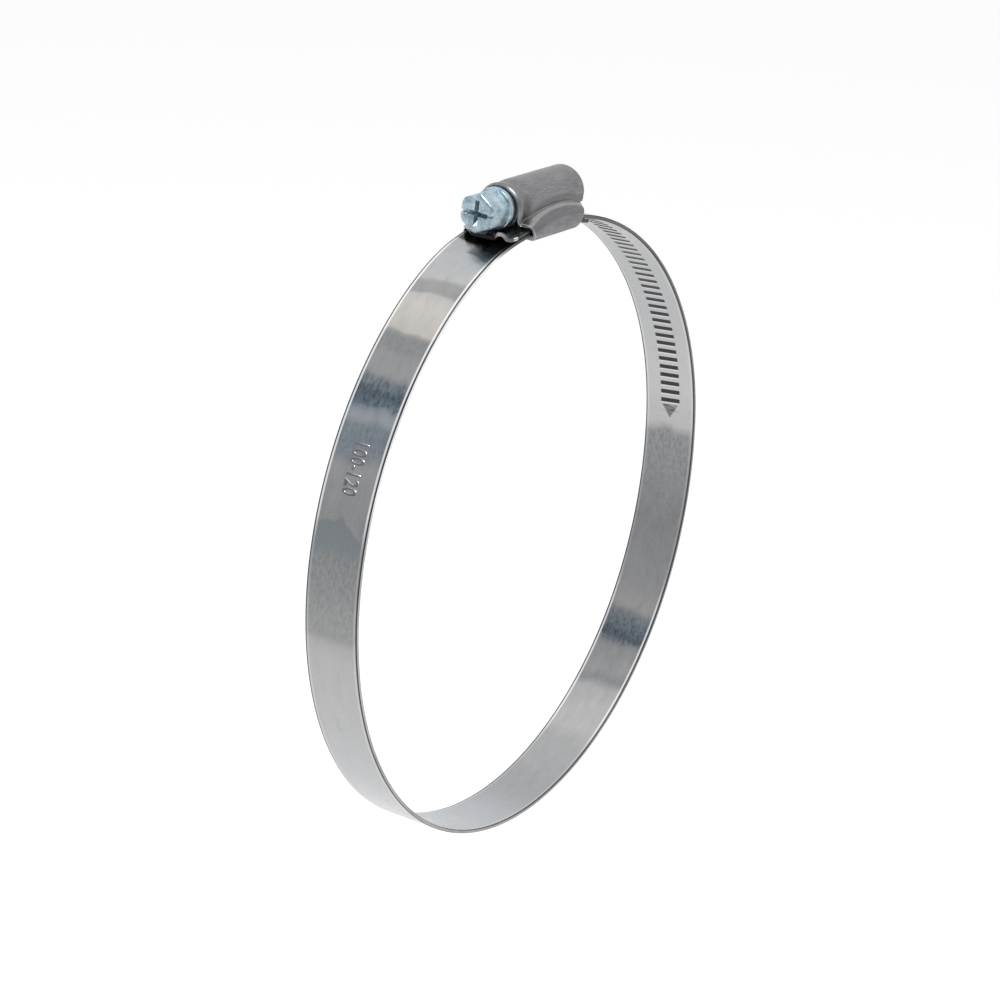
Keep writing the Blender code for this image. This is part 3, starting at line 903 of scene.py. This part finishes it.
# ---------------------------------------------------------------- housing
def fillet(before, corner, after, radius, steps):
    """The arc that rounds a corner of a plane outline."""
    a = (Vector(before) - Vector(corner)).normalized()
    b = (Vector(after) - Vector(corner)).normalized()
    half = a.angle(b) / 2
    start = a * radius / math.tan(half) + Vector(corner)
    end = b * radius / math.tan(half) + Vector(corner)
    centre = (a + b).normalized() * radius / math.sin(half) + Vector(corner)
    sweep = (start - centre).angle_signed(end - centre)
    turns = [Matrix.Rotation(-sweep * i / steps, 2) for i in range(steps + 1)]
    return [tuple(centre + turn @ (start - centre)) for turn in turns]


def half_section(x):
    """Half of the housing's mid section (y, z) at x, in millimetres above the strap."""
    axis = SCREW_UP / MM
    roll = max(0.0, min(1.0, (-9.4 - x) / 0.66))
    valley = 0.42 * math.exp(-(((x + 7.9) / 1.15) ** 2))
    neck = -valley - 0.55 * (1 - math.sqrt(1 - roll * roll))
    wide, high = 4.65 + neck, 4.3 + neck
    waist = CREASE_UP - CREASE_BOW * (x - CREASE_X) ** 2
    shoulder = 0.25 - 0.004 * x * x
    out = []
    for degrees in parts(90, 0, 16):
        angle = math.radians(degrees)
        out.append((wide * math.cos(angle), axis + high * math.sin(angle)))
    corners = [(wide, axis), (wide - 0.25, waist), (6.68, shoulder), (6.7, -2.8), (3.0, -2.8)]
    bends = ((0.4, 6), (1.3, 7), (1.45, 8))
    arcs = [fillet(*corners[i:i + 3], radius, steps) for i, (radius, steps) in enumerate(bends)]
    for arc in arcs + [[corners[-1]]]:
        a, b = Vector(out[-1]), Vector(arc[0])
        out += [tuple(a.lerp(b, i / 4)) for i in range(1, 4)] + arc
    return out


def end_limits(index, total):
    """Where the sheet starts and ends along X, in millimetres, for one column of the section."""
    marks = [
        (0, -10.0, 11.0), (19, -10.0, 11.0), (24, -9.5, 10.4), (29, -9.05, 9.3), (37, -8.2, 8.1),
        (41, -7.9, 7.7), (45, -7.2, 6.8), (52, -6.5, 5.2), (total - 1, -6.3, 4.7)]
    for (i, left, right), (j, next_left, next_right) in zip(marks, marks[1:]):
        if i <= index <= j:
            t = (index - i) / (j - i)
            return left + (next_left - left) * t, right + (next_right - right) * t
    return marks[-1][1:]


def housing_sheet():
    """The housing's one bent sheet, in rows that stand closer together at its curled front."""
    stations = (
        0, 0.004, 0.009, 0.015, 0.022, 0.03, 0.042, 0.056, 0.072, 0.09, 0.11, 0.13, 0.155, 0.185,
        0.22, 0.26, 0.33, 0.4, 0.48, 0.56, 0.64, 0.72, 0.8, 0.87, 0.93, 0.97, 1.0)
    total = len(half_section(0))
    item = new_object("housing_body")
    with edited(item.data) as work:
        rows = []
        for station in stations:
            half = []
            for j in range(total):
                left, right = end_limits(j, total)
                x = left + (right - left) * station
                half.append((x, *half_section(x)[j]))
            whole = [(x, -y, z) for x, y, z in reversed(half[1:])] + half
            rows.append([work.verts.new((x * MM, y * MM, z * MM + TOP)) for x, y, z in whole])
        for low, high in zip(rows, rows[1:]):
            for j in range(len(low) - 1):
                work.faces.new((low[j], low[j + 1], high[j + 1], high[j]))
    shell = item.modifiers.new("thickness", "SOLIDIFY")
    shell.thickness = 0.6 * MM
    shell.offset = 0
    shell.use_even_offset = True
    return smooth(rounded(applied(item), 0.13 * MM, 3, 60), 40)


def end_wall(name, start, hole, lowest, wide, high):
    """A wall that closes an end of the tube round the screw, in millimetres.

    It starts at start along X and has a hole of radius hole.  It is an ellipse of half width wide and half
    height high, cut off below lowest, which is measured from the strap.
    """
    end = start + 0.8
    wall = turned(name, [(start, 0.0), (start, 1.0), (end, 1.0), (end, 0.0)], 96)
    to_axis = Matrix.Translation((0, 0, AXIS_Z))
    for move in (to_axis.inverted(), Matrix.Diagonal((1, wide, high, 1)), to_axis):
        wall.data.transform(move)
    bore = turned("bore", [(start - 1, 0.0), (start - 1, hole), (end + 1, hole), (end + 1, 0.0)], 96)
    under = block("under", (6, 16, 6))
    under.location = (start * MM, 0, TOP + (lowest - 3) * MM)
    return smooth(rounded(boolean(wall, [bore, under], "DIFFERENCE"), 0.12 * MM, 2))


# ---------------------------------------------------------------- screw
def about_axis(angle, x):
    """The place at x on the screw's axis, turned about it."""
    return Matrix.Translation((0, 0, AXIS_Z)) @ Matrix.Rotation(angle, 4, "X") @ Matrix.Translation((x, 0, 0))


def shank():
    """Collar, neck, the worm's core and the tip."""
    return smooth(turned("screw_body", [
        (-12.6, 0.0), (-12.6, 2.6), (-12.2, 3.4), (-12.15, 3.75), (-12.08, 3.92), (-11.95, 4.0),
        (-11.75, 4.02), (-11.6, 4.0), (-11.52, 3.93), (-11.42, 3.93), (-11.34, 3.97), (-11.1, 3.95),
        (-10.8, 3.88), (-10.5, 3.79), (-10.32, 3.7), (-10.24, 3.55), (-10.2, 3.2), (-10.2, 2.6),
        (-8.7, 2.6), (-8.5, 2.8), (9.4, 2.8), (9.7, 1.8), (10.7, 1.8), (10.95, 1.5), (10.95, 0.0)]))


def cross_arm(angle):
    """A tapered block that cuts one arm of the cross, half of it in front of the head's face."""
    arm = block("arm", (4.6, 7.8, 1.24))
    arm.matrix_world = about_axis(angle, FACE)
    with edited(arm.data) as work:
        for vertex in work.verts:
            if vertex.co.x > 0:
                vertex.co.y *= 0.3
                vertex.co.z *= 0.6
    return arm


def screw_head():
    """The hexagon head, chamfered at both ends, with its slot and cross."""
    head = new_object("head")
    with edited(head.data) as work:
        bmesh.ops.create_cone(
            work, cap_ends=True, segments=6, radius1=HEAD_R, radius2=HEAD_R, depth=HEAD_LONG)
    lying = Matrix.Rotation(math.radians(90), 4, "Y")
    head.matrix_world = about_axis(HEAD_TURN, FACE + HEAD_LONG / 2) @ lying
    head = rounded(applied(head), 0.28 * MM, 3)
    dome = turned("dome", [
        (-17.6, 0.0), (-17.6, 3.3), (-17.45, 3.62), (-17.2, 3.84), (-16.8, 4.0), (-16.4, 4.1),
        (-12.8, 4.1), (-12.5, 4.0), (-12.2, 3.86), (-12.05, 3.7), (-12.05, 0.0)])
    head = boolean(head, [dome], "INTERSECT")
    slot = block("slot", (1.5, 9.5, 0.55))
    slot.matrix_world = about_axis(SLOT_TURN, FACE)
    arms = [cross_arm(CROSS_TURN), cross_arm(CROSS_TURN + math.radians(90))]
    head = boolean(head, [slot] + arms, "DIFFERENCE")
    return smooth(rounded(head, 0.07 * MM, 2, 40), 40)


def worm():
    """The right-handed worm tooth, in mesh at rest."""
    turns = 7
    start = ARC_X - PITCH * turns / 2
    half_profile = ((0.45, 2.6), (0.25, 3.4), (0.2, 3.45))
    profile = [(-x, radius) for x, radius in half_profile] + list(reversed(half_profile))
    item = new_object("screw_worm")
    points = [Vector((start + x * MM, 0, radius * MM)) for x, radius in profile]
    item.data.from_pydata(points, [(i, (i + 1) % len(points)) for i in range(len(points))], [])
    item.location = (0, 0, AXIS_Z)
    spin = item.modifiers.new("helix", "SCREW")
    spin.axis = "X"
    spin.screw_offset = PITCH
    spin.iterations = turns
    spin.steps = 64
    spin.render_steps = 64
    item = applied(item)
    with edited(item.data) as work:
        open_edges = [edge for edge in work.edges if edge.is_boundary]
        bmesh.ops.holes_fill(work, edges=open_edges, sides=0)
        bmesh.ops.recalc_face_normals(work, faces=work.faces)
    return smooth(item)


# ---------------------------------------------------------------- build
# The tones are painted reflections: rows of (degrees round the ring, level, blue).
OUTER = strap_steel("strap_outer", [
    (195, 0.40, 0.03), (210, 0.38, 0.02), (240, 0.375, 0.01), (262.5, 0.37, 0), (264.9, 0.35, -0.01),
    (267.3, 0.275, 0), (279, 0.26, 0.01), (285, 0.30, 0.01), (290.25, 0.33, 0.03), (293.25, 0.35, 0.03),
    (295.8, 0.27, 0.1), (299.1, 0.26, 0.12), (300.6, 0.37, 0.08), (301.8, 0.34, 0.1), (302.85, 0.19, 0.16),
    (304.8, 0.13, 0.2), (306.75, 0.22, 0.1), (308.55, 0.35, 0.02), (311.25, 0.33, 0.01), (313.5, 0.28, 0.03),
    (315.45, 0.28, 0.02), (316.2, 0.50, -0.05), (321.75, 0.54, -0.045), (324.3, 0.50, -0.02),
    (325.2, 0.34, 0), (327.6, 0.34, 0), (328.8, 0.48, 0.01), (336, 0.46, 0.04), (345, 0.40, 0.01)],
    (grey_patch, head_shadow))
INNER = strap_steel("strap_inner", [
    (10, 0.30, 0.01), (29.5, 0.33, 0.01), (58.75, 0.37, 0.01), (80.2, 0.42, 0), (87.61, 0.42, 0),
    (89.365, 0.255, 0.02), (103.6, 0.285, 0.02), (115.3, 0.34, 0.03), (121.54, 0.38, -0.02),
    (123.49, 0.24, 0.1), (125.44, 0.20, 0.13), (127.78, 0.13, 0.17), (130.315, 0.31, 0.02),
    (134.8, 0.35, 0.01), (137.725, 0.29, 0.05), (140.065, 0.44, 0), (148.45, 0.46, 0), (154.3, 0.39, 0.01),
    (169.9, 0.36, 0.03), (185.5, 0.44, 0.05), (205, 0.46, 0.07)],
    (thread_shade_and_highlight,))
EDGE = edge_steel()
PRESSED = groove_steel()
SHEET = sheet_steel()
ZINC = zinc()

fixed_join = WHOLE + FIXED_END + math.radians(9)
fixed = strip("strap_fixed", spread(WHOLE + FIXED_START, fixed_join), ends=(0,))
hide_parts("strap_fixed_end")
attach(fixed, "frame")

flexible_side("frame", fixed_join, WHOLE + FIXED_END, 1)
tongue_angles = spread(OPEN_PIVOT + 0.03, OPEN_PIVOT - 3.6 * MM / ARC_R)
tongue = strip("strap_tongue", tongue_angles, WIDTH / 2 - 0.04 * MM, THICK / 2 - 0.02 * MM, ends=(0, 1))
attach(tongue, "strap_link_%02d" % LINKS)
flexible_side("slotted_end", SLOT_JOIN, ARC_END, LINKS + 1)

slotted = slotted_end("strap_slotted")
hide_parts("strap_slotted_end")
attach(slotted, "slotted_end")

sheet = housing_sheet()
front = end_wall("housing_front", -9.98, hole=3.0, lowest=-0.25, wide=4.3, high=3.98)
rear = end_wall("housing_rear", 10.1, hole=2.1, lowest=-0.5, wide=4.5, high=4.15)
core = shank()
head = screw_head()
for pieces, look, slot, rides in (
        ((sheet, front, rear), SHEET, "housing_sheet", "frame"),
        ((core, head, worm()), ZINC, "zinc_screw", "screw")):
    for piece in pieces:
        piece.data.materials.clear()
        piece.data.materials.append(look)
        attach(piece, rides)
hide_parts("housing")
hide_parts("screw")


# ---------------------------------------------------------------- studio
def floor():
    """A wide pale floor well under the ring."""
    item = new_object("floor")
    with edited(item.data) as work:
        bmesh.ops.create_grid(work, x_segments=8, y_segments=8, size=6.0)
    item.location = (0, 0, -0.30)
    item.data.materials.append(floor_white())


def key_light():
    """The one square light, high on the near side."""
    light = bpy.data.lights.new("key", "AREA")
    light.shape = "RECTANGLE"
    light.size = 0.3
    light.size_y = 0.3
    light.energy = 7.0
    place, target = Vector((-0.25, -0.2, 0.9)), Vector((0, 0, 0.1))
    item = new_object("key", light)
    item.location = place
    item.rotation_euler = (target - place).to_track_quat("-Z", "Y").to_euler()


def camera():
    """The photograph's view: azimuth -55.9, elevation 20.6, a slight roll and a long lens."""
    azimuth, elevation, roll = math.radians(-55.935), math.radians(20.571), math.radians(2.835)
    distance, target = 0.54281, Vector((0, 0, 0.06216))
    level = math.cos(elevation)
    right = Vector((math.cos(azimuth), math.sin(azimuth), 0))
    back = Vector((math.sin(azimuth) * level, -math.cos(azimuth) * level, math.sin(elevation)))
    axes = Matrix((right, back.cross(right), back)).transposed() @ Matrix.Rotation(roll, 3, "Z")
    data = bpy.data.cameras.new("camera")
    data.lens = 98.877
    data.sensor_width = 36.0
    data.shift_x = -0.0141
    data.shift_y = 0.02134
    data.clip_start = 0.01
    item = new_object("camera", data)
    item.matrix_world = Matrix.Translation(back * distance + target) @ axes.to_4x4()
    bpy.context.scene.camera = item


def studio():
    """A world that is light all round, and darker on one side for the metal to reflect."""
    world = bpy.data.worlds.new("studio")
    world.use_nodes = True
    sky = world.node_tree
    towards = sky.nodes.new("ShaderNodeVectorMath")
    towards.operation = "DOT_PRODUCT"
    towards.inputs[1].default_value = (-0.775, -0.524, 0.351)
    sky.links.new(sky.nodes.new("ShaderNodeTexCoord").outputs["Generated"], towards.inputs[0])
    tone = ramp(Value(sky, towards.outputs["Value"]), [
        (0.05, (1.0, 1.0, 1.0)), (0.6, (0.62, 0.62, 0.63)), (0.95, (0.28, 0.285, 0.29))])
    sky.links.new(tone, sky.nodes["Background"].inputs["Color"])
    sky.nodes["Background"].inputs["Strength"].default_value = 1.05
    bpy.context.scene.world = world


bpy.context.scene.view_settings.view_transform = "Standard"
studio()
floor()
key_light()
camera()
